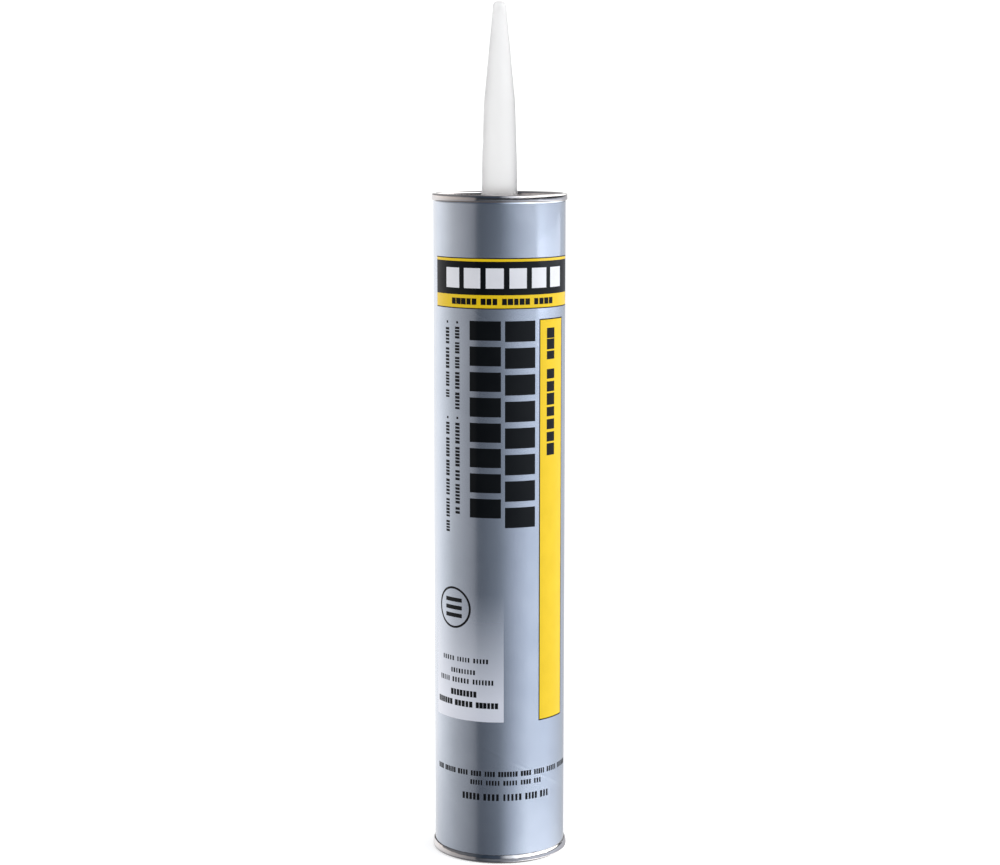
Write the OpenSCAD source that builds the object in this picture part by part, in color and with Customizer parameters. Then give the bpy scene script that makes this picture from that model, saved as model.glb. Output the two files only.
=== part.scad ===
// Large construction adhesive cartridge: a spiral-wound board tube with a paper label,
// a double-seamed sheet metal end that holds the spout, a clinched metal ring round the
// open foot, and a piston that a dispensing gun pushes up the bore.
// Millimetres, +Z up. The origin is the centre of the foot, and the label faces -Y.

/* [Board tube] */
// Height of the can, from the foot to the top of the seam
can_h = 323; // [290:1:350]
// Outside diameter of the bare board tube
tube_od = 63.6; // [50:0.1:80]
// Wall of the board tube
tube_wall = 1.3; // [1:0.05:2]

/* [Paper label] */
// Thickness of the label paper
label_t = 0.2; // [0.1:0.01:0.3]
// Width of the glued lap at the back
label_lap = 8; // [4:0.5:15]
// Gap between the label's top edge and the seam
label_gap = 0.15; // [0.1:0.01:1]

/* [Sheet metal end] */
// Thickness of the end's sheet
end_sheet = 0.25; // [0.18:0.01:0.32]
// How far the double seam stands out from the board tube
seam_out = 1; // [0.95:0.05:1.6]
// Height of the double seam
seam_h = 3.2; // [2.8:0.1:5]
// Radius of the seam's top edges
seam_r = 0.8; // [0.4:0.05:0.9]
// Length of the hook folded up inside the seam
hook_h = 2; // [1.2:0.1:2.4]
// Depth of the countersink below the seam's top
sink_depth = 5.2; // [4.5:0.1:9]
// Width of the countersink groove
sink_w = 1.7; // [1.2:0.1:3]
// Height of the flat panel above the countersink's bottom
panel_rise = 1.4; // [1:0.1:1.8]
// Height of the collar round the spout
collar_h = 1.5; // [1:0.1:1.8]

/* [Foot ring] */
// Thickness of the ring's sheet
ring_sheet = 0.28; // [0.2:0.01:0.35]
// How far the ring's bulge stands out from the board tube
ring_out = 1.3; // [1.1:0.05:2]
// Radius of the bends at the foot
ring_bend = 0.5; // [0.3:0.05:0.5]
// Radius of the bulge
ring_bulge = 1; // [0.6:0.1:1.2]
// Height of the ring's outer leg
ring_h = 4; // [3.2:0.1:6]
// Height of the ring's inner leg
ring_leg = 6; // [3:0.1:8]

/* [Spout] */
// Height of the spout's tip above the top of the seam
spout_h = 90.5; // [70:0.5:120]
// Diameter of the spout's neck
neck_d = 17.1; // [14:0.1:20]
// Height above the seam at which the slow taper sets in
slow_h = 14; // [8:1:25]
// How much thinner than the neck the spout is there
slow_drop = 0.4; // [0.1:0.1:1]
// Height above the seam at which the fast taper sets in
kink_h = 43; // [30:1:55]
// How much thinner than the neck the spout is there
kink_drop = 2.2; // [1.2:0.1:4]
// Diameter of the tip
tip_d = 6.2; // [5:0.1:9]
// Radius of the tip's rounded edge
tip_r = 2.2; // [1:0.1:2.4]
// Wall of the spout
spout_wall = 1.3; // [1:0.1:2]
// Length of the solid tip that is cut off before use
tip_solid = 3; // [1.5:0.1:6]
// Diameter of the flange under the panel
flange_d = 25; // [21:0.5:40]
// Thickness of the flange
flange_t = 1.2; // [0.8:0.1:1.4]
// Height of the snap bead above the collar
bead_h = 1.3; // [0.8:0.1:1.6]
// How far the snap bead stands out
bead_out = 0.8; // [0.4:0.1:1.2]

/* [Foil seal] */
// Diameter of the foil under the spout
foil_d = 20; // [17:0.5:21]
// Thickness of the foil
foil_t = 0.1; // [0.05:0.01:0.15]

/* [Piston] */
// Height of the piston
piston_h = 16; // [10:0.5:25]
// Wall of the piston's skirt
piston_wall = 1.2; // [1:0.1:2]
// Thickness of the piston's face
piston_face = 1.3; // [1:0.1:2]
// Width of the sloped border of the face
crown_border = 7.8; // [5:0.1:12]
// Height of the sloped border
crown_h = 2.2; // [1.2:0.1:3]
// Height of each wiping lip
lip_h = 1.4; // [0.8:0.1:2]
// How far the lips stand out from the skirt
lip_out = 0.6; // [0.3:0.1:0.8]

/* [Clearances] */
// Between the wiping lips and the bore, on each side
lip_clear = 0.06; // [0.02:0.01:0.1]
// Between pieces that are folded, wrapped or snapped together
fold_clear = 0.05; // [0.02:0.01:0.08]
// Between the adhesive and what holds it
fill_clear = 0.1; // [0.05:0.01:0.3]
// Between the piston's skirt and the ring's inner leg
rest_clear = 0.3; // [0.2:0.05:1]

/* [Print] */
// Thickness of the print
ink_t = 0.12; // [0.1:0.01:0.15]
// Half of the angle that the front panel spans
front_half = 74; // [62:1:85]
// Distance of the printed bands from the label's top edge
bands_drop = 26; // [10:0.1:40]
// Height of the thin lines above and below the bands
line_h = 0.5; // [0.4:0.1:1]
// Height of the narrow yellow line
narrow_h = 1.2; // [0.5:0.1:3]
// Height of the black band
black_h = 15.75; // [8:0.05:30]
// Height of the yellow band
yellow_h = 6.1; // [3:0.1:12]
// Height of the plain white blocks in the black band
white_h = 9.5; // [3:0.1:14]
// Distance of the headings and the yellow panel from the bands
heading_drop = 5.6; // [3:0.1:12]
// Height of the lower edge of the yellow and pale panels
panel_foot = 70.3; // [50:0.1:75]
// Height of the pale panel
pale_h = 42; // [20:0.5:50]
// Height of the middle of the ring mark
mark_z = 125.1; // [110:0.1:140]
// Outside diameter of the ring mark
mark_d = 20.3; // [14:0.1:26]
// Width of the ring mark's line
mark_line = 0.9; // [0.5:0.1:2]
// Least space between the pale panel and the ring mark
mark_space = 1; // [0.5:0.1:3]
// Height of the two bars inside the ring mark
mark_bar = 2; // [1:0.1:3]
// Length of the right heading column
right_column_h = 98.7; // [40:0.1:110]
// Length of the left heading column
left_column_h = 94; // [40:0.1:110]
// Gap between heading blocks
block_gap = 2.9; // [1:0.1:4]
// Number of heading blocks in each column
heading_blocks = 8; // [1:1:8]

/* [Hidden] */
$fn = 96;

// Board tube and label
tube_r = tube_od / 2;
bore_r = tube_r - tube_wall;
tube_foot = ring_sheet / 2 + ring_bend;
tube_top = can_h - end_sheet / 2 - seam_r;
label_r = tube_r + label_t;
seam_z = can_h - seam_h;
label_top = seam_z - label_gap;
label_foot = ring_h * 0.4;

// Sheet metal end
seam_r_out = tube_r + seam_out;
sink_z = can_h - sink_depth;
panel_z = sink_z + panel_rise;
collar_r = neck_d / 2 + fold_clear;
hook_r = tube_r + fold_clear;

// Spout and seal
spout_foot = panel_z - end_sheet - flange_t;
foil_z = spout_foot - foil_t;
bead_z = panel_z + collar_h + fold_clear;
tip_z = can_h + spout_h;

// Piston and adhesive
piston_r = bore_r - lip_clear;
skirt_r = piston_r - lip_out;
hollow_r = skirt_r - piston_wall;
crown_r = skirt_r - crown_border;
piston_z = ring_leg + rest_clear;
piston_top = piston_z + piston_h;
fill_top = min(foil_z, sink_z) - fill_clear;
fill_foot = piston_top + fill_clear;

// Print: angles are counted from the middle of the front, to the right
bands_top = label_top - bands_drop;
narrow_top = bands_top - line_h;
black_top = narrow_top - narrow_h;
black_foot = black_top - black_h;
yellow_foot = black_foot - yellow_h;
bands_foot = yellow_foot - line_h;
heading_top = bands_foot - heading_drop;
outline_w = 0.6;
yellow_panel = [31.2, 61];
right_column = [-1.4, 25.9];
left_column = [-32.2, -4.8];
pale_panel = [-front_half, -2.4];
pale_top = min(panel_foot + pale_h, mark_z - mark_d / 2 - mark_space);
mark_angle = -50;
mark_bar_half = 9;
white_blocks = 6;
white_half = 60;

function unit(v) = v / norm(v);
function turn(v, a) = [v.x * cos(a) - v.y * sin(a), v.x * sin(a) + v.y * cos(a)];
function turn_angle(u, v) = atan2(u.x * v.y - u.y * v.x, u.x * v.x + u.y * v.y);
function left(v) = [-v.y, v.x];

// A corner p between the points a and b, as an arc of radius r
function corner(a, p, b, r, steps = 5) =
  let (
    u = unit(p - a),
    v = unit(b - p),
    angle = turn_angle(u, v),
    start = p - u * r * tan(abs(angle) / 2),
    centre = start + left(u) * r * sign(angle)
  )
  [for (k = [0 : steps]) centre + turn(start - centre, angle * k / steps)];

// A path through the points, with each inner corner rounded by its own radius
function rounded(points, radii) =
  let (last = len(points) - 1)
  concat(
    [points[0]],
    [for (i = [1 : last - 1]) each corner(points[i - 1], points[i], points[i + 1], radii[i - 1])],
    [points[last]]
  );

// The path moved sideways by d, as one face of a sheet
function beside(path, d) =
  let (last = len(path) - 1)
  [for (i = [0 : last])
    let (
      u = unit(path[max(i, 1)] - path[max(i, 1) - 1]),
      v = unit(path[min(i, last - 1) + 1] - path[min(i, last - 1)]),
      half = turn_angle(u, v) / 2
    )
    path[i] + turn(left(u), half) * d / cos(half)
  ];

function backwards(list) = [for (i = [len(list) - 1 : -1 : 0]) list[i]];

// A revolved sheet that follows a path of [radius, height] points
module spun_sheet(path, sheet) {
  rotate_extrude()
    polygon(concat(beside(path, sheet / 2), backwards(beside(path, -sheet / 2))));
}

// Part of a tube between two angles, two heights and two radii
module sector(angles, z0, z1, r0, r1) {
  rotate([0, 0, 270 + angles[0]])
    rotate_extrude(angle = angles[1] - angles[0])
      translate([r0, z0])
        square([r1 - r0, z1 - z0]);
}

// A patch of print that lies on the label; layer 1 lies on other print
module patch(angles, z0, z1, layer = 0) {
  r = label_r + layer * ink_t;
  sector(angles, z0, z1, r, r + ink_t);
}

module fibre_tube() {
  color("tan")
    rotate_extrude()
      translate([bore_r, tube_foot])
        square([tube_wall, tube_top - tube_foot]);
}

// The label is one sheet, wrapped once round, and two sheets thick at the lap
module label() {
  lap_r = label_r + label_t;
  color("slategray")
    translate([0, 0, label_foot])
      linear_extrude(label_top - label_foot)
        difference() {
          union() {
            circle(r = label_r);
            intersection() {
              circle(r = lap_r);
              translate([-label_lap / 2, 0])
                square([label_lap, lap_r]);
            }
          }
          circle(r = tube_r);
        }
}

module heading_column(angles, column_h) {
  pitch = (column_h + block_gap) / heading_blocks;
  for (i = [0 : heading_blocks - 1])
    patch(angles, heading_top - (i + 1) * pitch + block_gap, heading_top - i * pitch);
}

// A ring and two bars, cut square on from the skin of print
module ring_mark() {
  reach = mark_d / label_r * 180 / PI;
  intersection() {
    patch([mark_angle - reach, mark_angle + reach], mark_z - mark_d, mark_z + mark_d);
    rotate([0, 0, 270 + mark_angle])
      translate([label_r / 2, 0, mark_z])
        rotate([0, 90, 0])
          difference() {
            cylinder(d = mark_d, h = label_r);
            translate([0, 0, -mark_line])
              cylinder(d = mark_d - 2 * mark_line, h = label_r + 2 * mark_line);
          }
  }
  for (side = [-1, 1])
    patch(
      [mark_angle - mark_bar_half, mark_angle + mark_bar_half],
      mark_z + side * mark_bar - mark_bar / 2,
      mark_z + side * mark_bar + mark_bar / 2
    );
}

// The thin dark outline of the yellow panel
module panel_outline() {
  edge = outline_w / label_r * 180 / PI;
  outer = [yellow_panel[0] - edge, yellow_panel[1] + edge];
  difference() {
    patch(outer, panel_foot - outline_w, heading_top + outline_w);
    sector(yellow_panel, panel_foot, heading_top, tube_r, label_r + 2 * ink_t);
  }
}

module label_black() {
  color([0.08, 0.08, 0.1]) {
    patch([-front_half, front_half], narrow_top, bands_top);
    patch([-front_half, front_half], black_foot, black_top);
    patch([-front_half, front_half], bands_foot, yellow_foot);
    panel_outline();
    heading_column(right_column, right_column_h);
    heading_column(left_column, left_column_h);
    ring_mark();
  }
}

module label_yellow() {
  color("gold") {
    patch([-front_half, front_half], black_top, narrow_top);
    patch([-front_half, front_half], yellow_foot, black_foot);
    patch(yellow_panel, panel_foot, heading_top);
  }
}

module label_white() {
  pitch = 2 * white_half / white_blocks;
  middle = (black_top + black_foot) / 2;
  color("white") {
    patch(pale_panel, panel_foot, pale_top);
    for (i = [0 : white_blocks - 1])
      patch(
        [-white_half + (i + 0.12) * pitch, -white_half + (i + 0.88) * pitch],
        middle - white_h / 2, middle + white_h / 2, layer = 1
      );
  }
}

// The end is one sheet: hook, seam, chuck wall, countersink, panel and collar
module top_end() {
  half = end_sheet / 2;
  wall_r = bore_r - fold_clear - half;
  path = rounded(
    [
      [hook_r + half, seam_z + hook_h],
      [hook_r + half, seam_z + half],
      [seam_r_out - half, seam_z + half],
      [seam_r_out - half, can_h - half],
      [wall_r, can_h - half],
      [wall_r, sink_z + half],
      [wall_r - sink_w, sink_z + half],
      [wall_r - sink_w, panel_z - half],
      [collar_r + half, panel_z - half],
      [collar_r + half, panel_z + collar_h]
    ],
    [0.3, 0.3, seam_r, seam_r, 0.55, 0.55, 0.4, 0.4]
  );
  color("silver")
    spun_sheet(path, end_sheet);
}

// The ring is one sheet: a bulged outer leg, the foot and an inner leg up the bore
module bottom_ring() {
  half = ring_sheet / 2;
  leg_r = bore_r - fold_clear - half;
  lip_r = label_r + label_t + fold_clear + half;
  bulge_r = tube_r + ring_out - half;
  path = rounded(
    [
      [lip_r, ring_h],
      [bulge_r, ring_h * 0.6],
      [bulge_r, ring_h * 0.2],
      [label_r, half],
      [leg_r, half],
      [leg_r, ring_leg]
    ],
    [2 * ring_bulge, ring_bulge, ring_bend, ring_bend]
  );
  color("silver")
    spun_sheet(path, ring_sheet);
}

module spout() {
  neck_r = neck_d / 2;
  slow_r = (neck_d - slow_drop) / 2;
  kink_r = (neck_d - kink_drop) / 2;
  tip = [
    [tip_d / 2, tip_z - tip_r],
    each [for (a = [15 : 15 : 75])
      [tip_d / 2 - tip_r + tip_r * cos(a), tip_z - tip_r + tip_r * sin(a)]],
    [tip_d / 2 - tip_r, tip_z],
    [0, tip_z]
  ];
  bead = [
    [neck_r, bead_z],
    [neck_r + bead_out, bead_z],
    [neck_r + bead_out, bead_z + bead_h / 3],
    [neck_r, bead_z + bead_h]
  ];
  taper = [
    [slow_r, can_h + slow_h],
    [kink_r, can_h + kink_h]
  ];
  outside = concat(
    [
      [flange_d / 2, spout_foot],
      [flange_d / 2, spout_foot + flange_t],
      [neck_r, spout_foot + flange_t]
    ],
    bead, taper, tip
  );
  inside = [
    [0, tip_z - tip_solid],
    [tip_d / 2 - spout_wall, tip_z - tip_solid - 1],
    [kink_r - spout_wall, can_h + kink_h],
    [slow_r - spout_wall, can_h + slow_h],
    [neck_r - spout_wall, can_h],
    [neck_r - spout_wall, spout_foot]
  ];
  color("whitesmoke")
    rotate_extrude()
      polygon(concat(outside, inside));
}

module spout_seal() {
  color("lightgray")
    translate([0, 0, foil_z])
      cylinder(d = foil_d, h = foil_t);
}

module piston() {
  shoulder = piston_h - crown_h;
  // the face keeps its thickness across the sloped border
  slope = atan2(crown_h, crown_border);
  inset = piston_face * tan(slope / 2);
  color("ivory")
    translate([0, 0, piston_z])
      rotate_extrude()
        polygon([
          [0, piston_h],
          [crown_r, piston_h],
          [skirt_r, shoulder],
          [piston_r, shoulder - lip_out],
          [piston_r, shoulder - lip_h],
          [skirt_r, shoulder - lip_h - lip_out],
          [skirt_r, lip_h + lip_out],
          [piston_r, lip_h],
          [piston_r, 0],
          [hollow_r, 0],
          [hollow_r, shoulder - piston_face],
          [crown_r - inset, piston_h - piston_face],
          [0, piston_h - piston_face]
        ]);
}

module adhesive() {
  fill_r = bore_r - fold_clear;
  color("burlywood")
    rotate_extrude()
      polygon([
        [0, fill_foot],
        [crown_r, fill_foot],
        [skirt_r, fill_foot - crown_h],
        [fill_r, fill_foot - crown_h],
        [fill_r, fill_top],
        [0, fill_top]
      ]);
}

fibre_tube();
label();
label_black();
label_yellow();
label_white();
top_end();
bottom_ring();
spout();
spout_seal();
piston();
adhesive();
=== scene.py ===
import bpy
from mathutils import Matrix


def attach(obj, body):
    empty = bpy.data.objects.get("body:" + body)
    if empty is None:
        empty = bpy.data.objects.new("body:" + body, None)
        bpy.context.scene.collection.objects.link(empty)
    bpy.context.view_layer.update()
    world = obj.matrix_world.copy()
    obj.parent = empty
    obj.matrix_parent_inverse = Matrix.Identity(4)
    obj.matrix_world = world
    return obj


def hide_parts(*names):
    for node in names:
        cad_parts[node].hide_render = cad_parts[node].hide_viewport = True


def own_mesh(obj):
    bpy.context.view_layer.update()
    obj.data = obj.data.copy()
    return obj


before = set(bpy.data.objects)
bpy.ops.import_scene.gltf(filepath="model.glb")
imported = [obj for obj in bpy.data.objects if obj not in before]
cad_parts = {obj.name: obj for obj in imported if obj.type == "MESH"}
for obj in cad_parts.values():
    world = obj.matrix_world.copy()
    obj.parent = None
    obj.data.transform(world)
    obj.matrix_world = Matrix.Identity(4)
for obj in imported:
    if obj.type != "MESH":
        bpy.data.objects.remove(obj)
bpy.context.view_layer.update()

import math
import random

import bmesh
import bpy
from mathutils import Vector

MM = 0.001
FACETS = 288             # facets round each turned piece

# ---------------------------------------------------------------- sizes, in mm
CAN_H = 323
TUBE_R = 31.8
TUBE_WALL = 1.3
BORE_R = TUBE_R - TUBE_WALL
LABEL_T = 0.2
LABEL_R = TUBE_R + LABEL_T
LABEL_LAP = 8
LABEL_FOOT = 1.6
LABEL_EDGE = ((0, 0.9), (0.02, 0.55), (0.07, 0.25), (0.14, 0))   # its upper edge: how far in, how far down
LAP_RUN = 2.5            # degrees in which the outer end climbs over the inner one
LAP_LEAD = 1.5           # degrees of them before the lap
SHEET = 0.25             # sheet of the top end
SEAM_OUT = 1
SEAM_H = 3.2
SEAM_R = 0.8
HOOK_H = 2
SEAM_LEAN = 0.14         # the seam is this much narrower at its top
SINK_DEPTH = 5.2
SINK_W = 1.7
PANEL_RISE = 1.4
COLLAR_H = 1.5
RING_SHEET = 0.28
RING_OUT = 1.3
RING_BEND = 0.5
RING_EASE = 5            # bend radius of the ring's long curve to its upper edge
RING_WIDEST = (0.67, 0.2)    # the shares of its height between which the ring is widest
RING_H = 4
CLINCH_FROM = 1.8        # the ring's wrinkles begin at this height
CLINCH_RISE = 2          # and are full this much higher
CLINCH_OUT = 0.1
CLINCH_IN = 0.03
CLINCH_DOWN = 0.2
RING_LEG = 6
SPOUT_H = 90.5
NECK_D = 17.1
SLOW_H = 14
SLOW_DROP = 0.4
KINK_H = 43
KINK_DROP = 2.2
KINK_R = 30
TIP_D = 6.2
TIP_R = 2.2
SPOUT_WALL = 1.3
TIP_SOLID = 3
FLANGE_D = 25
FLANGE_T = 1.2
BEAD_H = 1.3
BEAD_OUT = 0.8
FOIL_D = 20
FOIL_T = 0.1
PISTON_H = 16
PISTON_WALL = 1.2
PISTON_FACE = 1.3
CROWN_BORDER = 7.8
CROWN_H = 2.2
LIP_H = 1.4
LIP_OUT = 0.6
LIP_CLEAR = 0.06
FOLD_CLEAR = 0.05
FILL_CLEAR = 0.1
REST_CLEAR = 0.3
INK = 0.03               # the print lies this far above what carries it
SUNK = 0.02              # and reaches this far into it
THIN_INK = 0.02          # print on print
FACE = 0.01              # the pale panel's

SEAM_Z = CAN_H - SEAM_H
LABEL_TOP = SEAM_Z - 0.15
SINK_Z = CAN_H - SINK_DEPTH
PANEL_Z = SINK_Z + PANEL_RISE
SPOUT_FOOT = PANEL_Z - SHEET - FLANGE_T
TIP_Z = CAN_H + SPOUT_H
PISTON_R = BORE_R - LIP_CLEAR
SKIRT_R = PISTON_R - LIP_OUT
PISTON_Z = RING_LEG + REST_CLEAR
FILL_TOP = SPOUT_FOOT - FOIL_T - FILL_CLEAR

# Print: heights in mm, angles in degrees from the front's middle to the right
FRONT_HALF = 74
BANDS_TOP = LABEL_TOP - 26
NARROW_TOP = BANDS_TOP - 0.5
BLACK_TOP = NARROW_TOP - 1.2
BLACK_FOOT = BLACK_TOP - 15.75
YELLOW_FOOT = BLACK_FOOT - 6.1
BANDS_FOOT = YELLOW_FOOT - 0.5
HEADING_TOP = BANDS_FOOT - 5.6
PANEL_FOOT = 70.3
OUTLINE = 0.6            # dark line round the yellow panel
PALE_FULL = PANEL_FOOT + 8
PALE_GONE = 133
PALE_LEFT, PALE_RIGHT = -FRONT_HALF, -2.4
YELLOW_PANEL = (31.2, 61)
MARK_Z = 125.1
MARK_ANGLE = -50
MARK_R = 20.3 / 2
MARK_LINE = 1.05
MARK_BARS = (-3.8, 0, 3.8)   # their heights from the mark's middle
MARK_BAR_HALF = 9.5
WHITE_H = 9.5
WHITE_HALF = 60
WHITE_BLOCKS = 6
WHITE_GAP = 0.12         # share of a block's pitch that stays dark on each side


# ---------------------------------------------------------------- camera
def aimed(obj, target):
    obj.rotation_mode = "QUATERNION"
    obj.rotation_quaternion = (Vector(target) - obj.location).to_track_quat("-Z", "Y")


# Fitted to the photo's outline
CAMERA_ANGLE = 6         # degrees left of the front's middle
camera = bpy.data.objects.new("camera", bpy.data.cameras.new("camera"))
bpy.context.collection.objects.link(camera)
camera.data.sensor_width = 36
camera.data.lens = 82.067
camera.data.clip_start = 0.01
camera.location = (-0.11498, -1.09397, 0.35897)
camera.rotation_euler = (math.radians(90 - 7.873), 0, math.radians(-6.012))
bpy.context.scene.camera = camera
bpy.context.scene.view_settings.view_transform = "Standard"


# ---------------------------------------------------------------- node help
class Look:
    """A material with one Principled shader, and short ways to feed it."""

    def __init__(self, name, **sockets):
        self.mat = bpy.data.materials.new(name)
        self.mat.use_nodes = True
        self.tree = self.mat.node_tree
        self.shader = self.tree.nodes["Principled BSDF"]
        self.set(**sockets)
        self.place = self.tree.nodes.new("ShaderNodeTexCoord").outputs["Object"]

    def set(self, **sockets):
        for key, value in sockets.items():
            socket = self.shader.inputs[key.replace("_", " ")]
            if isinstance(value, (tuple, list)) and len(value) == 3 and socket.type == "RGBA":
                value = (*value, 1)
            socket.default_value = value

    def node(self, kind, **settings):
        made = self.tree.nodes.new("ShaderNode" + kind)
        for key, value in settings.items():
            setattr(made, key, value)
        return made

    def plug(self, source, socket):
        if hasattr(source, "links") or isinstance(source, bpy.types.NodeSocket):
            self.tree.links.new(source, socket)
        elif isinstance(source, (tuple, list)) and socket.type == "RGBA":
            socket.default_value = (*source[:3], 1)
        else:
            socket.default_value = source

    def math(self, operation, a, b=0.0, clamp=False):
        made = self.node("Math", operation=operation, use_clamp=clamp)
        self.plug(a, made.inputs[0])
        self.plug(b, made.inputs[1])
        return made.outputs[0]

    def stretched(self, x, y, z):
        made = self.node("Mapping")
        made.inputs["Scale"].default_value = (x, y, z)
        self.tree.links.new(self.place, made.inputs["Vector"])
        return made.outputs[0]

    def noise(self, scale, detail=3.0, where=None, rough=0.5):
        made = self.node("TexNoise")
        made.inputs["Scale"].default_value = scale
        made.inputs["Detail"].default_value = detail
        made.inputs["Roughness"].default_value = rough
        self.tree.links.new(where or self.place, made.inputs["Vector"])
        return made.outputs["Fac"]

    def ranged(self, value, low, high, to_low, to_high, smooth=False):
        made = self.node("MapRange", interpolation_type="SMOOTHSTEP" if smooth else "LINEAR")
        self.plug(value, made.inputs["Value"])
        for key, number in zip(("From Min", "From Max", "To Min", "To Max"), (low, high, to_low, to_high)):
            made.inputs[key].default_value = number
        return made.outputs["Result"]

    def mixed(self, factor, a, b):
        made = self.node("Mix", data_type="RGBA")
        self.plug(factor, made.inputs[0])
        self.plug(a, made.inputs[6])
        self.plug(b, made.inputs[7])
        return made.outputs[2]

    def feed(self, name, source):
        self.tree.links.new(source, self.shader.inputs[name])

    def bump(self, height, strength, distance, into=("Normal",)):
        made = self.node("Bump")
        made.inputs["Strength"].default_value = strength
        made.inputs["Distance"].default_value = distance
        self.tree.links.new(height, made.inputs["Height"])
        for name in into:
            self.tree.links.new(made.outputs[0], self.shader.inputs[name])

    def cylinder(self):
        """Angle from the front's middle in degrees, and height in mm."""
        parts = self.node("SeparateXYZ")
        self.tree.links.new(self.place, parts.inputs[0])
        behind = self.math("MULTIPLY", parts.outputs["Y"], -1.0)
        angle = self.math("ARCTAN2", parts.outputs["X"], behind)
        return (
            self.math("MULTIPLY", angle, 180 / math.pi),
            self.math("MULTIPLY", parts.outputs["Z"], 1 / MM),
        )


def helix(look, angle, height, pitch, width):
    """1 on the line of a helix, 0 away from it."""
    turn = look.math("MULTIPLY", angle, 1 / 360)
    along = look.math("FRACT", look.math("ADD", look.math("MULTIPLY", height, 1 / pitch), turn))
    away = look.math("ABSOLUTE", look.math("SUBTRACT", along, 0.5))
    return look.ranged(away, 0, width / pitch, 1, 0, smooth=True)


def paper_relief(look, angle, height):
    """The wound plies show faintly through the label, with the paper's own grain."""
    plies = helix(look, angle, height, 104, 1.4)
    grain = look.noise(260, 4)
    slow = look.noise(28, 2, look.stretched(1, 1, 0.35))
    total = look.math("ADD", look.math("MULTIPLY", plies, 0.5), look.math("MULTIPLY", slow, 0.9))
    total = look.math("ADD", total, look.math("MULTIPLY", grain, 0.12))
    look.bump(total, 0.08, 0.0004)


# ---------------------------------------------------------------- materials
GLOSS = dict(Coat_Weight=1.0, Coat_Roughness=0.04, Coat_IOR=1.5)
SILVER = (0.63, 0.69, 0.78), (0.67, 0.73, 0.82)
PALE = (0.87, 0.89, 0.97)
SILVER_METAL, PALE_METAL = 0.93, 0.12


def label_look():
    """Silver print under varnish, and the pale panel that fades into it upwards."""
    look = Look("label_paper", **GLOSS)
    angle, height = look.cylinder()
    silver = look.mixed(look.ranged(look.noise(55, 3), 0.35, 0.65, 0, 1), *SILVER)
    across = look.math(
        "MULTIPLY",
        look.ranged(angle, PALE_LEFT - 1.6, PALE_LEFT - 1.4, 0, 1),
        look.ranged(angle, PALE_RIGHT - 0.1, PALE_RIGHT + 0.1, 1, 0),
    )
    above = look.ranged(height, PANEL_FOOT - 0.1, PANEL_FOOT + 0.1, 0, 1)
    fade = look.ranged(height, PALE_FULL, PALE_GONE, 1, 0)
    pale = look.math("MULTIPLY", look.math("MULTIPLY", across, above), fade)
    look.feed("Base Color", look.mixed(pale, silver, PALE))
    look.feed("Metallic", look.ranged(pale, 0, 1, SILVER_METAL, PALE_METAL))
    look.feed("Roughness", look.ranged(look.noise(90, 4), 0.3, 0.7, 0.21, 0.25))
    paper_relief(look, angle, height)
    return look.mat


def ink_look(name, dark, light, low, high, coat=1.0, **sockets):
    look = Look(name, **{**GLOSS, "Coat_Weight": coat}, **sockets)
    angle, height = look.cylinder()
    look.feed("Base Color", look.mixed(look.ranged(look.noise(120, 4), 0.35, 0.65, 0, 1), dark, light))
    look.feed("Roughness", look.ranged(look.noise(200, 3), 0.3, 0.7, low, high))
    paper_relief(look, angle, height)
    return look.mat


def board_look():
    look = Look("board")
    angle, height = look.cylinder()
    fibre = look.noise(900, 5, look.stretched(1, 1, 0.25), 0.7)
    kraft = look.mixed(look.ranged(fibre, 0.3, 0.7, 0, 1), (0.36, 0.24, 0.14), (0.52, 0.37, 0.23))
    joint = helix(look, angle, height, 92, 0.8)
    look.feed("Base Color", look.mixed(joint, kraft, (0.24, 0.16, 0.09)))
    look.feed("Roughness", look.ranged(fibre, 0.2, 0.8, 0.7, 0.9))
    look.bump(look.math("SUBTRACT", fibre, joint), 0.4, 0.0004)
    return look.mat


def tin_look(name, rough_low, rough_high, color):
    look = Look(name, Metallic=1.0)
    angle, height = look.cylinder()
    rolled = look.noise(2.2, 5, look.stretched(40, 900, 900), 0.6)
    cloud = look.noise(160, 3)
    light = tuple(min(1, c * 1.08) for c in color)
    look.feed("Base Color", look.mixed(look.ranged(cloud, 0.3, 0.7, 0, 1), color, light))
    look.feed("Roughness", look.ranged(rolled, 0.3, 0.7, rough_low, rough_high))
    look.bump(rolled, 0.06, 0.0002)
    return look.mat


def spout_look():
    """Milky plastic: the longer way through the wall darkens the spout's edges."""
    look = Look(
        "spout_plastic", IOR=1.42, Transmission_Weight=0.93, Coat_Weight=0.2, Coat_Roughness=0.12,
    )
    streak = look.noise(60, 3, look.stretched(1, 1, 0.12))
    clear = look.mixed(look.ranged(streak, 0.3, 0.7, 0, 1), (0.975, 0.975, 0.975), (1.0, 1.0, 1.0))
    look.feed("Base Color", clear)
    look.feed("Roughness", look.ranged(streak, 0.3, 0.7, 0.26, 0.33))
    look.bump(streak, 0.03, 0.0003)
    absorb = look.node("VolumeAbsorption")
    absorb.inputs["Color"].default_value = (0.5, 0.5, 0.505, 1)
    absorb.inputs["Density"].default_value = 60
    out = next(n for n in look.tree.nodes if n.type == "OUTPUT_MATERIAL")
    look.tree.links.new(absorb.outputs[0], out.inputs["Volume"])
    return look.mat


def piston_look():
    look = Look("piston_plastic", IOR=1.5, Subsurface_Weight=0.3, Subsurface_Scale=0.002)
    cloud = look.noise(80, 4)
    pale = look.mixed(look.ranged(cloud, 0.3, 0.7, 0, 1), (0.78, 0.77, 0.72), (0.85, 0.84, 0.80))
    look.feed("Base Color", pale)
    look.feed("Roughness", look.ranged(look.noise(240, 4), 0.3, 0.7, 0.38, 0.5))
    look.bump(look.noise(400, 4), 0.08, 0.0003)
    return look.mat


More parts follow.
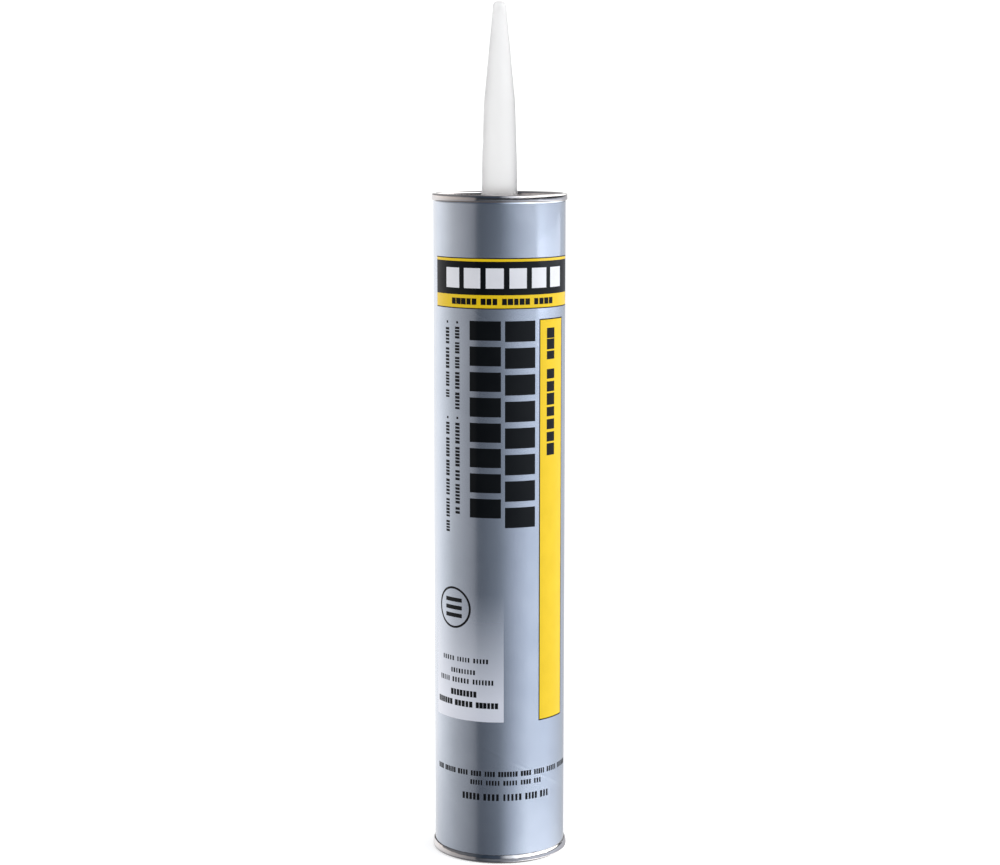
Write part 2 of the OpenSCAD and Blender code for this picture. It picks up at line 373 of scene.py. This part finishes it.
def paste_look():
    look = Look("adhesive_paste", IOR=1.5)
    cloud = look.noise(70, 6, None, 0.65)
    tan = look.mixed(look.ranged(cloud, 0.3, 0.7, 0, 1), (0.44, 0.33, 0.19), (0.56, 0.44, 0.27))
    look.feed("Base Color", tan)
    look.feed("Roughness", look.ranged(cloud, 0.3, 0.7, 0.35, 0.6))
    look.bump(cloud, 0.35, 0.001)
    return look.mat


def foil_look():
    look = Look("foil", Metallic=1.0)
    crease = look.noise(190, 6, None, 0.6)
    silver = look.mixed(look.ranged(crease, 0.3, 0.7, 0, 1), (0.70, 0.71, 0.72), (0.80, 0.81, 0.82))
    look.feed("Base Color", silver)
    look.feed("Roughness", look.ranged(crease, 0.3, 0.7, 0.22, 0.36))
    look.bump(crease, 0.3, 0.0005)
    return look.mat


LABEL = label_look()
BLACK = ink_look(
    "black_ink", (0.0022, 0.0034, 0.0045), (0.0036, 0.005, 0.006), 0.4, 0.5, 0.38, Specular_IOR_Level=0.05,
)
YELLOW = ink_look(
    "yellow_ink", (0.92, 0.62, 0.008), (0.96, 0.65, 0.011), 0.5, 0.56, Specular_IOR_Level=0.0,
)
WHITE = ink_look(
    "white_ink", (0.86, 0.86, 0.89), (0.90, 0.90, 0.93), 0.5, 0.56, Specular_IOR_Level=0.0,
)
BOARD = board_look()
TIN_TOP = tin_look("tin_top", 0.05, 0.09, (0.70, 0.665, 0.65))
TIN_FOOT = tin_look("tin_foot", 0.06, 0.1, (0.72, 0.69, 0.675))
SPOUT = spout_look()
PISTON = piston_look()
PASTE = paste_look()
FOIL = foil_look()


# ---------------------------------------------------------------- shapes
def piece(name, verts, faces, material, slot, replaces=(), body="can", sharp=32):
    """A closed mesh from points in mm, smooth but for edges sharper than the angle."""
    mesh = bpy.data.meshes.new(name)
    mesh.from_pydata([(x * MM, y * MM, z * MM) for x, y, z in verts], [], faces)
    form = bmesh.new()
    form.from_mesh(mesh)
    bmesh.ops.remove_doubles(form, verts=form.verts, dist=1e-7)
    bmesh.ops.recalc_face_normals(form, faces=form.faces)
    form.to_mesh(mesh)
    form.free()
    mesh.shade_smooth()
    mesh.set_sharp_from_angle(angle=math.radians(sharp))
    mesh.materials.append(material)
    obj = bpy.data.objects.new(name, mesh)
    bpy.context.collection.objects.link(obj)
    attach(obj, body)
    if replaces:
        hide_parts(*replaces)
    return obj


def around(angle, radius, z):
    """The point at an angle from the front's middle, in degrees to the right."""
    a = math.radians(angle)
    return (radius * math.sin(a), -radius * math.cos(a), z)


def turned(profile, warp=None, facets=FACETS):
    """A closed profile of (radius, height) points turned round the axis."""
    verts, faces, rows = [], [], []
    for radius, z in profile:
        count = 1 if radius < 1e-6 else facets
        rows.append(range(len(verts), len(verts) + count))
        for i in range(count):
            angle = 360 * i / facets
            r, h = warp(radius, z, angle) if warp else (radius, z)
            verts.append(around(angle, r, h))
    for a, b in zip(rows, rows[1:] + rows[:1]):
        if len(a) == 1 and len(b) == 1:
            continue
        for i in range(facets):
            j = (i + 1) % facets
            ring = [a[i % len(a)], a[j % len(a)], b[j % len(b)], b[i % len(b)]]
            faces.append(list(dict.fromkeys(ring)))
    return verts, faces


def blocks(patches, base=LABEL_R, proud=INK):
    """Thin curved plates on the label: (left, right, foot, top) each, in degrees and mm."""
    verts, faces = [], []
    for left, right, foot, top in patches:
        count = max(1, math.ceil((right - left) / 1.25))
        start = len(verts)
        for i in range(count + 1):
            angle = left + (right - left) * i / count
            for radius in (base - SUNK, base + proud):
                verts += [around(angle, radius, foot), around(angle, radius, top)]
        for i in range(count):
            a, b = start + 4 * i, start + 4 * i + 4
            faces += [
                (a + 2, b + 2, b + 3, a + 3), (a, a + 1, b + 1, b),
                (a + 1, a + 3, b + 3, b + 1), (a, b, b + 2, a + 2),
            ]
        end = start + 4 * count
        faces += [(start, start + 2, start + 3, start + 1), (end, end + 1, end + 3, end + 2)]
    return verts, faces


def turn(v, angle):
    return (
        v[0] * math.cos(angle) - v[1] * math.sin(angle),
        v[0] * math.sin(angle) + v[1] * math.cos(angle),
    )


def unit(a, b):
    length = math.dist(a, b)
    return ((b[0] - a[0]) / length, (b[1] - a[1]) / length)


def angle_between(u, v):
    return math.atan2(u[0] * v[1] - u[1] * v[0], u[0] * v[0] + u[1] * v[1])


def rounded(points, radii, steps=9):
    """The path through the points, with each inner corner rounded by its own radius."""
    path = [points[0]]
    for a, p, b, r in zip(points, points[1:], points[2:], radii):
        u, v = unit(a, p), unit(p, b)
        angle = angle_between(u, v)
        back = r * math.tan(abs(angle) / 2)
        start = (p[0] - u[0] * back, p[1] - u[1] * back)
        side = math.copysign(r, angle)
        centre = (start[0] - u[1] * side, start[1] + u[0] * side)
        arm = (start[0] - centre[0], start[1] - centre[1])
        for k in range(steps + 1):
            t = turn(arm, angle * k / steps)
            path.append((centre[0] + t[0], centre[1] + t[1]))
    return path + [points[-1]]


def beside(path, d):
    """The path moved sideways by d, as one face of a sheet."""
    last = len(path) - 1
    moved = []
    for i, p in enumerate(path):
        u = unit(path[max(i, 1) - 1], path[max(i, 1)])
        v = unit(path[min(i, last - 1)], path[min(i, last - 1) + 1])
        half = angle_between(u, v) / 2
        side = turn((-u[1], u[0]), half)
        moved.append((p[0] + side[0] * d / math.cos(half), p[1] + side[1] * d / math.cos(half)))
    return moved


def sheet(path, thick):
    return beside(path, thick / 2) + beside(path, -thick / 2)[::-1]


def smooth(t):
    t = min(1, max(0, t))
    return t * t * (3 - 2 * t)


# ---------------------------------------------------------------- tube and label
TUBE_FOOT = RING_SHEET / 2 + RING_BEND
TUBE_TOP = CAN_H - SHEET / 2 - SEAM_R
piece(
    "tube", *turned([(BORE_R, TUBE_FOOT), (TUBE_R, TUBE_FOOT), (TUBE_R, TUBE_TOP), (BORE_R, TUBE_TOP)]),
    BOARD, "board", ["fibre_tube"],
)

LAP_HALF = math.degrees(LABEL_LAP / LABEL_R) / 2


def label_warp(radius, z, angle):
    """The lap at the back: the outer end climbs over the inner one and ends in a step."""
    if radius < LABEL_R - 0.01:
        return radius, z
    offset = angle - 180
    rise = smooth((offset + LAP_HALF + LAP_LEAD) / LAP_RUN) if offset < LAP_HALF else 0
    return radius + (LABEL_T * rise if offset > -LAP_HALF - LAP_LEAD else 0), z


label_path = [
    (TUBE_R, LABEL_FOOT), (LABEL_R, LABEL_FOOT),
    *((LABEL_R - inward, LABEL_TOP - down) for inward, down in LABEL_EDGE), (TUBE_R, LABEL_TOP),
]
piece("label_wrap", *turned(label_path, label_warp, 720), LABEL, "label_paper", ["label"])

# ---------------------------------------------------------------- print
wide = (-FRONT_HALF, FRONT_HALF)
piece(
    "bands_black",
    *blocks([
        (*wide, NARROW_TOP, BANDS_TOP), (*wide, BLACK_FOOT, BLACK_TOP), (*wide, BANDS_FOOT, YELLOW_FOOT),
    ]),
    BLACK, "black_ink", ["label_black"],
)
piece(
    "bands_yellow", *blocks([(*wide, BLACK_TOP, NARROW_TOP), (*wide, YELLOW_FOOT, BLACK_FOOT)]),
    YELLOW, "yellow_ink", ["label_yellow"],
)
piece(
    "panel_yellow", *blocks([(*YELLOW_PANEL, PANEL_FOOT, HEADING_TOP)]),
    YELLOW, "yellow_ink", ["label_yellow"],
)
EDGE = math.degrees(OUTLINE / LABEL_R)
left, right = YELLOW_PANEL[0] - EDGE, YELLOW_PANEL[1] + EDGE
piece(
    "panel_outline",
    *blocks([
        (left, YELLOW_PANEL[0], PANEL_FOOT - OUTLINE, HEADING_TOP + OUTLINE),
        (YELLOW_PANEL[1], right, PANEL_FOOT - OUTLINE, HEADING_TOP + OUTLINE),
        (*YELLOW_PANEL, HEADING_TOP, HEADING_TOP + OUTLINE),
        (*YELLOW_PANEL, PANEL_FOOT - OUTLINE, PANEL_FOOT),
    ]),
    BLACK, "black_ink", ["label_black"],
)
piece(
    "panel_pale", *blocks([(PALE_LEFT, PALE_RIGHT, PANEL_FOOT, MARK_Z - MARK_R - 1)], proud=FACE),
    LABEL, "white_ink", ["label_white"],
)


def heading(angles, length, count, gap=2.9):
    """Blocks in a column, downwards from the headings' upper end."""
    pitch = (length + gap) / count
    return [(*angles, HEADING_TOP - (i + 1) * pitch + gap, HEADING_TOP - i * pitch) for i in range(count)]


piece(
    "headings", *blocks(heading((-1.4, 25.9), 98.7, 8) + heading((-32.2, -4.8), 94, 8)),
    BLACK, "black_ink", ["label_black"],
)
pitch = 2 * WHITE_HALF / WHITE_BLOCKS
middle = (BLACK_TOP + BLACK_FOOT) / 2
piece(
    "band_blocks",
    *blocks([
        (
            -WHITE_HALF + (i + WHITE_GAP) * pitch, -WHITE_HALF + (i + 1 - WHITE_GAP) * pitch,
            middle - WHITE_H / 2, middle + WHITE_H / 2,
        )
        for i in range(WHITE_BLOCKS)
    ], LABEL_R + INK),
    WHITE, "white_ink", ["label_white"],
)


def ring_mark():
    """A round line that looks like a circle from its own side."""
    verts, faces, count = [], [], 96
    for i in range(count):
        a = 2 * math.pi * i / count
        for reach in (MARK_R, MARK_R - MARK_LINE):
            angle = MARK_ANGLE + math.degrees(math.asin(reach * math.cos(a) / LABEL_R))
            for radius in (LABEL_R - SUNK, LABEL_R + INK):
                verts.append(around(angle, radius, MARK_Z + reach * math.sin(a)))
    for i in range(count):
        a, b = 4 * i, 4 * ((i + 1) % count)
        faces += [
            (a + 1, b + 1, b + 3, a + 3), (a, a + 2, b + 2, b),
            (a, b, b + 1, a + 1), (a + 2, a + 3, b + 3, b + 2),
        ]
    return verts, faces


piece("mark_ring", *ring_mark(), BLACK, "black_ink", ["label_black"])
piece(
    "mark_bars",
    *blocks([
        (MARK_ANGLE - MARK_BAR_HALF, MARK_ANGLE + MARK_BAR_HALF, MARK_Z + up - 1, MARK_Z + up + 1)
        for up in MARK_BARS
    ]),
    BLACK, "black_ink", ["label_black"],
)

draw = random.Random(7)


def words(first, last, low, high, gap):
    """Plain bars of uneven length between two ends."""
    bars, at = [], first
    while at < last - gap:
        end = min(last, at + draw.uniform(low, high))
        if last - end < low:
            end = last
        bars.append((at, end))
        at = end + gap
    return bars


def strokes(bars, pitch, share):
    """Each bar cut across into short plain strokes."""
    cut = []
    for a, b in bars:
        count = max(1, round((b - a) / pitch))
        step = (b - a) / count
        for i in range(count):
            width = step * min(0.95, share * draw.uniform(0.85, 1.15))
            middle = a + (i + 0.5) * step
            cut.append((middle - width / 2, middle + width / 2))
    return cut


# Fine print: rows of plain strokes where the small print is, each as
# (foot, top, left end, right end, words, strokes' pitch, their share of it); words are (shortest, longest, gap)
PANEL_WORDS, FOOT_WORDS = (12, 24, 2.6), (9, 20, 2.4)
rows = [
    (98.9, 101.2, -64.7, -15.4, PANEL_WORDS, 3.0, 0.55),
    (93.1, 95.4, -53.4, -27.1, PANEL_WORDS, 3.0, 0.55),
    (88.4, 90.9, -68.7, -10.8, PANEL_WORDS, 3.0, 0.55),
    (82.0, 85.0, -53.4, -26.1, PANEL_WORDS, 3.6, 0.8),
    (76.9, 79.8, -72.5, -7.0, PANEL_WORDS, 3.6, 0.8),
    (43.2, 45.8, -73.5, 73.5, FOOT_WORDS, 2.5, 0.72),
    (38.9, 41.3, -32.5, 33.1, FOOT_WORDS, 2.6, 0.62),
    (31.3, 34.6, -40.7, 41.8, FOOT_WORDS, 3.6, 0.6),
]
fine = []
for foot, top, first, last, spread, pitch, share in rows:
    fine += [(a, b, foot, top) for a, b in strokes(words(first, last, *spread), pitch, share)]
piece("fine_rows", *blocks(fine), BLACK, "black_ink")

# Two columns of small print that run downwards, each run with a dot above it
bullets = []
for first, last, runs in (
    (-47.2, -42.4, [(261, 221.2), (215.2, 170.8)]),
    (-58.9, -54.3, [(260.5, 226.6), (215.1, 161.7)]),
):
    for top, foot in runs:
        lines = strokes(words(foot, top, 4.5, 11, 1.3), 1.6, 0.7)
        bullets += [(first, last, foot + top - b, foot + top - a) for a, b in lines]
for angle, z in ((-44.8, 262.9), (-44.8, 217.3), (-56.6, 262.9), (-56.6, 217.1)):
    bullets.append((angle - 1, angle + 1, z - 0.55, z + 0.55))
piece("fine_columns", *blocks(bullets), BLACK, "black_ink")

# Bars on the yellow band, and down the yellow panel
on_yellow = [(a, b, 271.6, 274.6) for a, b in strokes(words(-51, 46, 12, 26, 3), 5.2, 0.86)]
for foot, top in ((244.4, 260.2), (198.8, 241.1)):
    on_yellow += [(38.6, 48.6, a, b) for a, b in strokes([(foot, top)], 5.7, 0.86)]
piece("yellow_bars", *blocks(on_yellow, LABEL_R + INK, THIN_INK), BLACK, "black_ink")

# ---------------------------------------------------------------- metal
half = SHEET / 2
hook_r = TUBE_R + FOLD_CLEAR + half
seam_r = TUBE_R + SEAM_OUT - half
wall_r = BORE_R - FOLD_CLEAR - half
collar_r = NECK_D / 2 + FOLD_CLEAR + half
end_path = rounded(
    [
        (hook_r, SEAM_Z + HOOK_H), (hook_r, SEAM_Z + half), (seam_r, SEAM_Z + half),
        (seam_r - SEAM_LEAN, CAN_H - half), (wall_r, CAN_H - half), (wall_r, SINK_Z + half),
        (wall_r - SINK_W, SINK_Z + half), (wall_r - SINK_W, PANEL_Z - half),
        (collar_r, PANEL_Z - half), (collar_r, PANEL_Z + COLLAR_H),
    ],
    [0.3, 0.3, SEAM_R, SEAM_R, 0.55, 0.55, 0.4, 0.4],
)
piece("end_top", *turned(sheet(end_path, SHEET)), TIN_TOP, "tin_top", ["top_end"], sharp=50)

half = RING_SHEET / 2
leg_r = BORE_R - FOLD_CLEAR - half
lip_r = LABEL_R + LABEL_T + FOLD_CLEAR + half
bulge_r = TUBE_R + RING_OUT - half
ring_path = rounded(
    [
        (lip_r, RING_H), *((bulge_r, RING_H * share) for share in RING_WIDEST),
        (LABEL_R, half), (leg_r, half), (leg_r, RING_LEG),
    ],
    [RING_EASE, RING_BEND, RING_BEND, RING_BEND],
)
waves = [(draw.randint(9, 44), draw.uniform(0, 2 * math.pi), draw.uniform(0.4, 1)) for _ in range(7)]


def clinch(radius, z, angle):
    """Small wrinkles in the clinched upper edge of the outer leg."""
    if radius < TUBE_R or z < CLINCH_FROM:
        return radius, z
    a = math.radians(angle)
    wave = sum(k * math.sin(n * a + p) for n, p, k in waves) / len(waves)
    share = smooth((z - CLINCH_FROM) / CLINCH_RISE)
    return radius + CLINCH_OUT * wave * share - CLINCH_IN * share, z - CLINCH_DOWN * share * abs(wave)


piece(
    "ring_foot", *turned(sheet(ring_path, RING_SHEET), clinch), TIN_FOOT, "tin_foot", ["bottom_ring"],
    sharp=50,
)

# ---------------------------------------------------------------- spout, seal
neck_r = NECK_D / 2
slow_r = (NECK_D - SLOW_DROP) / 2
kink_r = (NECK_D - KINK_DROP) / 2
bead_z = PANEL_Z + COLLAR_H + FOLD_CLEAR
spout_path = [
    (FLANGE_D / 2, SPOUT_FOOT), (FLANGE_D / 2, SPOUT_FOOT + FLANGE_T), (neck_r, SPOUT_FOOT + FLANGE_T),
    (neck_r, bead_z), (neck_r + BEAD_OUT, bead_z), (neck_r + BEAD_OUT, bead_z + BEAD_H / 3),
    (neck_r, bead_z + BEAD_H), (slow_r, CAN_H + SLOW_H),
]
kink = rounded(
    [(slow_r, CAN_H + SLOW_H), (kink_r, CAN_H + KINK_H), (TIP_D / 2, TIP_Z - TIP_R)], [KINK_R], 6,
)
spout_path += kink[1:]
for k in range(1, 12):
    a = math.radians(90 * k / 12)
    spout_path.append((TIP_D / 2 - TIP_R + TIP_R * math.cos(a), TIP_Z - TIP_R + TIP_R * math.sin(a)))
spout_path += [(TIP_D / 2 - TIP_R, TIP_Z), (0, TIP_Z)]
spout_path += [
    (0, TIP_Z - TIP_SOLID), (TIP_D / 2 - SPOUT_WALL, TIP_Z - TIP_SOLID - 1),
    (kink_r - SPOUT_WALL, CAN_H + KINK_H), (slow_r - SPOUT_WALL, CAN_H + SLOW_H),
    (neck_r - SPOUT_WALL, CAN_H), (neck_r - SPOUT_WALL, SPOUT_FOOT),
]
piece("nozzle", *turned(spout_path), SPOUT, "spout_plastic", ["spout"], sharp=40)

foil_z = SPOUT_FOOT - FOIL_T
piece(
    "seal_foil",
    *turned([(0, foil_z), (FOIL_D / 2, foil_z), (FOIL_D / 2, foil_z + FOIL_T), (0, foil_z + FOIL_T)]),
    FOIL, "foil", ["spout_seal"],
)

# ---------------------------------------------------------------- piston, paste
shoulder = PISTON_Z + PISTON_H - CROWN_H
crown_r = SKIRT_R - CROWN_BORDER
hollow_r = SKIRT_R - PISTON_WALL
piston_top = PISTON_Z + PISTON_H
inset = PISTON_FACE * math.tan(math.atan2(CROWN_H, CROWN_BORDER) / 2)
piston_path = [
    (0, piston_top), (crown_r, piston_top), (SKIRT_R, shoulder), (PISTON_R, shoulder - LIP_OUT),
    (PISTON_R, shoulder - LIP_H), (SKIRT_R, shoulder - LIP_H - LIP_OUT),
    (SKIRT_R, PISTON_Z + LIP_H + LIP_OUT), (PISTON_R, PISTON_Z + LIP_H), (PISTON_R, PISTON_Z),
    (hollow_r, PISTON_Z), (hollow_r, shoulder - PISTON_FACE),
    (crown_r - inset, piston_top - PISTON_FACE), (0, piston_top - PISTON_FACE),
]
piece("plunger", *turned(piston_path), PISTON, "piston_plastic", ["piston"], "piston", sharp=12)

fill_r = BORE_R - FOLD_CLEAR
fill_foot = piston_top + FILL_CLEAR
paste = piece(
    "paste",
    *turned([
        (0, fill_foot), (crown_r, fill_foot), (SKIRT_R, fill_foot - CROWN_H), (fill_r, fill_foot - CROWN_H),
        (fill_r, FILL_TOP), (0, FILL_TOP),
    ]),
    PASTE, "adhesive_paste", ["adhesive"],
)
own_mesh(paste)


# ---------------------------------------------------------------- floor, light
def floor_look():
    """Pale from above, with the object's shadow; the studio's own light reaches the object past it."""
    mat = bpy.data.materials.new("floor")
    mat.use_nodes = True
    tree = mat.node_tree
    tree.nodes.clear()
    out = tree.nodes.new("ShaderNodeOutputMaterial")
    paint = tree.nodes.new("ShaderNodeBsdfDiffuse")
    paint.inputs["Color"].default_value = (0.82, 0.82, 0.82, 1)
    glow = tree.nodes.new("ShaderNodeEmission")
    glow.inputs["Strength"].default_value = 0.5
    pale = tree.nodes.new("ShaderNodeAddShader")
    tree.links.new(paint.outputs[0], pale.inputs[0])
    tree.links.new(glow.outputs[0], pale.inputs[1])
    seen = tree.nodes.new("ShaderNodeLightPath")
    side = tree.nodes.new("ShaderNodeNewGeometry")
    shown = tree.nodes.new("ShaderNodeMath")
    shown.operation = "SUBTRACT"
    shown.use_clamp = True
    tree.links.new(seen.outputs["Is Camera Ray"], shown.inputs[0])
    tree.links.new(side.outputs["Backfacing"], shown.inputs[1])
    both = tree.nodes.new("ShaderNodeMixShader")
    tree.links.new(shown.outputs[0], both.inputs[0])
    tree.links.new(tree.nodes.new("ShaderNodeBsdfTransparent").outputs[0], both.inputs[1])
    tree.links.new(pale.outputs[0], both.inputs[2])
    tree.links.new(both.outputs[0], out.inputs["Surface"])
    return mat


bpy.ops.mesh.primitive_circle_add(vertices=96, radius=0.3, fill_type="NGON", location=(0, 0, 0))
floor = bpy.context.object
floor.name = "floor"
floor.data.materials.append(floor_look())


def toward(angle, distance, z):
    """A place in the studio, by its angle to the right of the camera, seen from the object."""
    x, y, _ = around(angle - CAMERA_ANGLE, distance, 0)
    return (x, y, z)


def softbox(name, angle, distance, foot, top, width, color, steps):
    """A tall lamp that faces the object; steps are (share of its width, radiance) from its left to its right."""
    lamp = bpy.data.lights.new(name, "AREA")
    lamp.shape = "RECTANGLE"
    lamp.size, lamp.size_y = width, top - foot
    lamp.energy = math.pi * width * (top - foot)
    lamp.color = color
    lamp.use_nodes = True
    tree = lamp.node_tree
    glow = next(n for n in tree.nodes if n.type == "EMISSION")
    place, parts = tree.nodes.new("ShaderNodeNewGeometry"), tree.nodes.new("ShaderNodeSeparateXYZ")
    curve = tree.nodes.new("ShaderNodeFloatCurve")
    points = curve.mapping.curves[0].points
    most = max(level for _, level in steps)
    points[0].location = (steps[0][0], steps[0][1] / most)
    points[-1].location = (steps[-1][0], steps[-1][1] / most)
    for share, level in steps[1:-1]:
        points.new(share, level / most)
    curve.mapping.update()
    scale = tree.nodes.new("ShaderNodeMath")
    scale.operation = "MULTIPLY"
    scale.inputs[1].default_value = most
    tree.links.new(place.outputs["Parametric"], parts.inputs[0])
    tree.links.new(parts.outputs["X"], curve.inputs["Value"])
    tree.links.new(curve.outputs[0], scale.inputs[0])
    tree.links.new(scale.outputs[0], glow.inputs["Strength"])
    obj = bpy.data.objects.new(name, lamp)
    bpy.context.collection.objects.link(obj)
    obj.location = toward(angle, distance, (foot + top) / 2)
    aimed(obj, (0, 0, (foot + top) / 2))
    obj.visible_camera = False
    return obj


softbox(
    "softbox_right", 98, 1.1, 0.215, 0.29, 1.3, (0.9, 0.92, 1.0),
    [(0, 1.3), (0.12, 1.4), (0.28, 1.15), (0.4, 0.85), (1, 0.65)],
)


# Light by direction round the object: (degrees to the right of the camera, colour or grey)
UNDER = [
    (-180, 0.25), (-60, (0.14, 0.14, 0.15)), (-20, (0.08, 0.078, 0.085)), (10, (0.08, 0.078, 0.085)),
    (60, (0.15, 0.15, 0.155)), (180, 0.25),
]
# The rings above it, each with the sines of elevation between which it takes over
RINGS = [
    (-0.72, -0.5, [
        (-180, 1), (-160, (0.25, 0.25, 0.26)), (-60, (0.07, 0.08, 0.1)), (-30, (0.045, 0.05, 0.07)),
        (0, (0.07, 0.08, 0.1)), (25, (0.9, 0.96, 1.06)), (55, (2.2, 2.23, 2.28)), (120, (2.1, 2.1, 2.12)),
        (155, 1.2), (180, 1),
    ]),
    # what the label's foot mirrors
    (-0.36, -0.33, [
        (-180, 1), (-150, (0.75, 0.75, 0.77)), (-100, (0.6, 0.6, 0.62)), (-60, (0.34, 0.345, 0.36)),
        (-42, (0.22, 0.225, 0.24)), (-37, (0.07, 0.075, 0.09)), (0, (0.15, 0.17, 0.2)),
        (55, (0.52, 0.56, 0.66)), (90, (0.5, 0.54, 0.64)), (158, (0.5, 0.51, 0.54)), (168, 1), (180, 1),
    ]),
    # what the rest of it mirrors: light from the left ends sharply, light from the right fades in
    (-0.31, -0.25, [
        (-180, 1), (-160, (1, 1, 1.02)), (-131, (1.02, 1.02, 1.04)), (-108, (0.8, 0.8, 0.816)),
        (-86, (0.52, 0.52, 0.53)), (-64, (0.385, 0.385, 0.404)), (-44, (0.26, 0.26, 0.275)),
        (-39, (0.075, 0.085, 0.105)), (0, (0.185, 0.205, 0.24)), (25, (0.38, 0.415, 0.49)),
        (55, (0.6, 0.655, 0.77)), (90, (0.66, 0.72, 0.85)), (158, (0.5, 0.51, 0.54)), (168, 1), (180, 1),
    ]),
    # what the top seam mirrors, dark to the right
    (0.0, 0.025, [
        (-180, 1), (-160, 1), (-131, (1.15, 1.11, 1.1)), (-108, (0.9, 0.86, 0.84)),
        (-86, (0.66, 0.62, 0.6)), (-64, (0.46, 0.435, 0.425)), (-43, (0.29, 0.275, 0.275)),
        (-38, (0.04, 0.045, 0.05)), (0, (0.03, 0.035, 0.04)), (60, (0.05, 0.055, 0.06)),
        (145, (0.03, 0.035, 0.04)), (165, 0.5), (180, 1),
    ]),
    (0.085, 0.115, [
        (-180, 0.35), (-150, (0.35, 0.35, 0.36)), (-60, (0.12, 0.13, 0.15)), (-30, (0.03, 0.045, 0.07)),
        (0, (0.06, 0.08, 0.12)), (25, (1.1, 1.18, 1.3)), (55, (2.6, 2.62, 2.67)), (120, 2.7), (155, 1.4),
        (180, 0.35),
    ]),
    (0.7, 0.84, [(-180, (0.12, 0.12, 0.13)), (180, (0.12, 0.12, 0.13))]),
    (0.94, 0.98, [(-180, (0.7, 0.7, 0.72)), (180, (0.7, 0.7, 0.72))]),
]
# Added for diffuse surfaces alone, so that their colours render about as written
FILL = [
    (-180, 0.3), (-140, 0.7), (-100, 1), (-60, 0.85), (-30, 0.35), (0, 0.2), (40, 0), (120, 0), (180, 0.3),
]
SHOWN = 1.2              # white, as the camera sees it and through clear plastic


def studio():
    """White where the camera looks; for all other rays, rings of light round the object."""
    world = bpy.data.worlds.new("studio")
    bpy.context.scene.world = world
    world.use_nodes = True
    tree = world.node_tree
    tree.nodes.clear()

    def node(kind, **settings):
        made = tree.nodes.new("ShaderNode" + kind)
        for key, value in settings.items():
            setattr(made, key, value)
        return made

    def link(a, b):
        tree.links.new(a, b)

    def mix(share, a, b, **settings):
        made = node("Mix", data_type="RGBA", **settings)
        link(share, made.inputs[0])
        link(a, made.inputs[6])
        if isinstance(b, tuple):
            made.inputs[7].default_value = b
        else:
            link(b, made.inputs[7])
        return made.outputs[2]

    place, parts = node("TexCoord"), node("SeparateXYZ")
    link(place.outputs["Generated"], parts.inputs[0])
    # the direction's angle to the right of the camera, seen from the object, as a share of a turn
    behind = node("Math", operation="MULTIPLY")
    behind.inputs[1].default_value = -1
    link(parts.outputs["Y"], behind.inputs[0])
    angle = node("Math", operation="ARCTAN2")
    link(parts.outputs["X"], angle.inputs[0])
    link(behind.outputs[0], angle.inputs[1])
    share = node("Math", operation="MULTIPLY_ADD")
    share.inputs[1].default_value = 0.5 / math.pi
    share.inputs[2].default_value = 0.5 + CAMERA_ANGLE / 360
    link(angle.outputs[0], share.inputs[0])
    around_once = node("Math", operation="FRACT")
    link(share.outputs[0], around_once.inputs[0])

    def ring(stops):
        made = node("ValToRGB")
        stops = [(at, c if isinstance(c, tuple) else (c, c, c)) for at, c in stops]
        first, last = made.color_ramp.elements
        first.position, last.position = 0, 1
        first.color, last.color = (*stops[0][1], 1), (*stops[-1][1], 1)
        for at, color in stops[1:-1]:
            made.color_ramp.elements.new(0.5 + at / 360).color = (*color, 1)
        link(around_once.outputs[0], made.inputs[0])
        return made.outputs[0]

    def above(low, high):
        """0 below the first sine of the elevation, 1 above the second."""
        made = node("MapRange", interpolation_type="SMOOTHSTEP")
        made.inputs["From Min"].default_value = low
        made.inputs["From Max"].default_value = high
        link(parts.outputs["Z"], made.inputs["Value"])
        return made.outputs["Result"]

    room = ring(UNDER)
    for low, high, stops in RINGS:
        room = mix(above(low, high), room, ring(stops))
    path = node("LightPath")
    room = mix(path.outputs["Is Diffuse Ray"], room, ring(FILL), blend_type="ADD")
    seen = node("Math", operation="MAXIMUM")
    link(path.outputs["Is Camera Ray"], seen.inputs[0])
    link(path.outputs["Is Transmission Ray"], seen.inputs[1])
    back = node("Background")
    link(mix(seen.outputs[0], room, (SHOWN, SHOWN, SHOWN, 1)), back.inputs["Color"])
    link(back.outputs[0], node("OutputWorld").inputs["Surface"])


studio()
